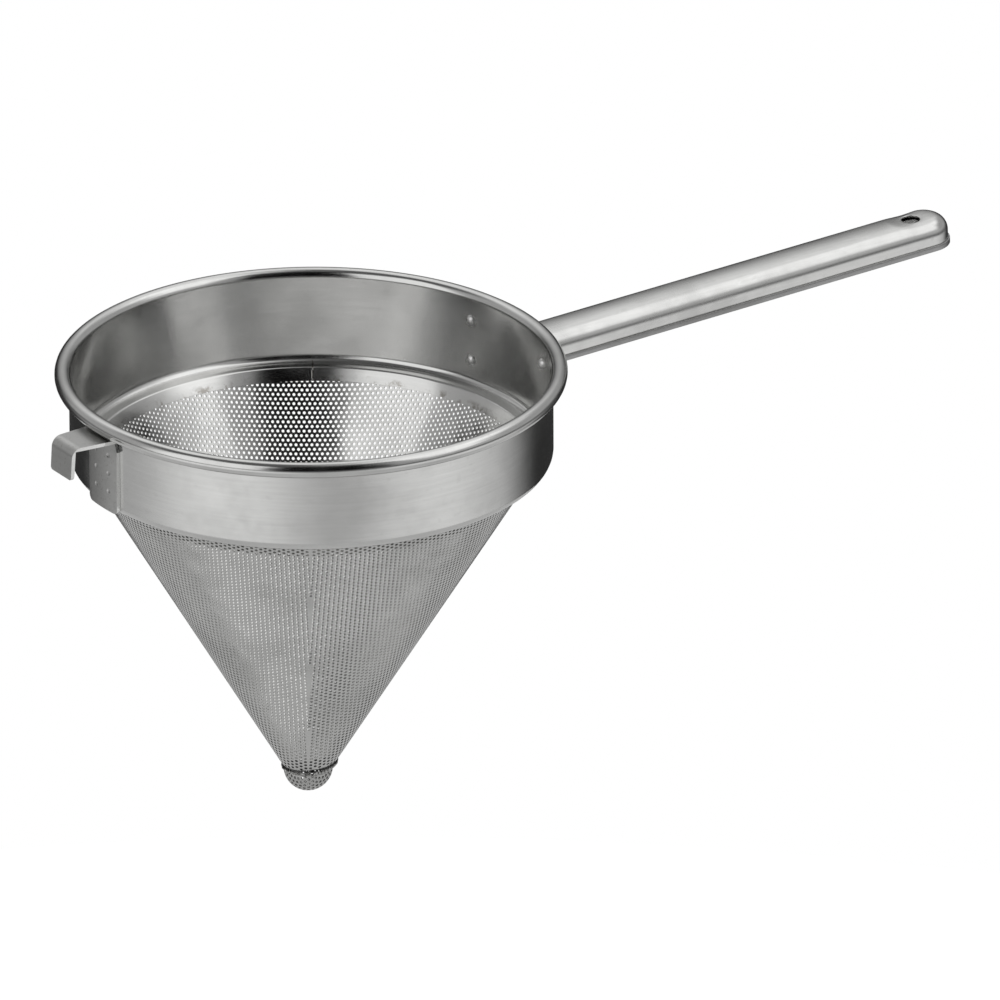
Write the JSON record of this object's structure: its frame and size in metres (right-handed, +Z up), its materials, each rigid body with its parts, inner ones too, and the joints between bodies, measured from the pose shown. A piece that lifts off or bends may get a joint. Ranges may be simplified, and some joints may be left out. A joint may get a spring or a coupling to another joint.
{
  "type": "chinois strainer",
  "caption": "Conical perforated chinois strainer with a rolled rim band, a riveted hollow handle with a hang hole, a tip cap and a pan hook.",
  "frame": {"origin": "centre of the rolled rim's bead circle, on the ring's axis", "axes": "+Z up along the ring's axis, +X from the ring's axis along the handle, the pan hook on -X"},
  "size_m": [0.4817, 0.2348, 0.212],
  "materials": {
    "band_steel": "polished satin sheet",
    "wire_steel": "drawn wire",
    "cone_steel": "perforated mill sheet",
    "cap_steel": "perforated pressed cup",
    "handle_steel": "lengthwise satin",
    "tray_steel": "ground edge",
    "bracket_steel": "pressed sheet",
    "rivet_steel": "bright headed",
    "weld_steel": "brushed weld",
    "hook_steel": "rolled strip with spot welds"
  },
  "bodies": {
    "root": {"rim_band": "band_steel", "rim_wire": "wire_steel", "strainer_cone": "cone_steel", "tip_cap": "cap_steel", "handle_upper_shell": "handle_steel", "handle_lower_shell": "tray_steel", "handle_bracket": "bracket_steel", "bracket_rivets": "rivet_steel", "handle_weld": "weld_steel", "pan_hook": "hook_steel"}
  },
  "joints": []
}
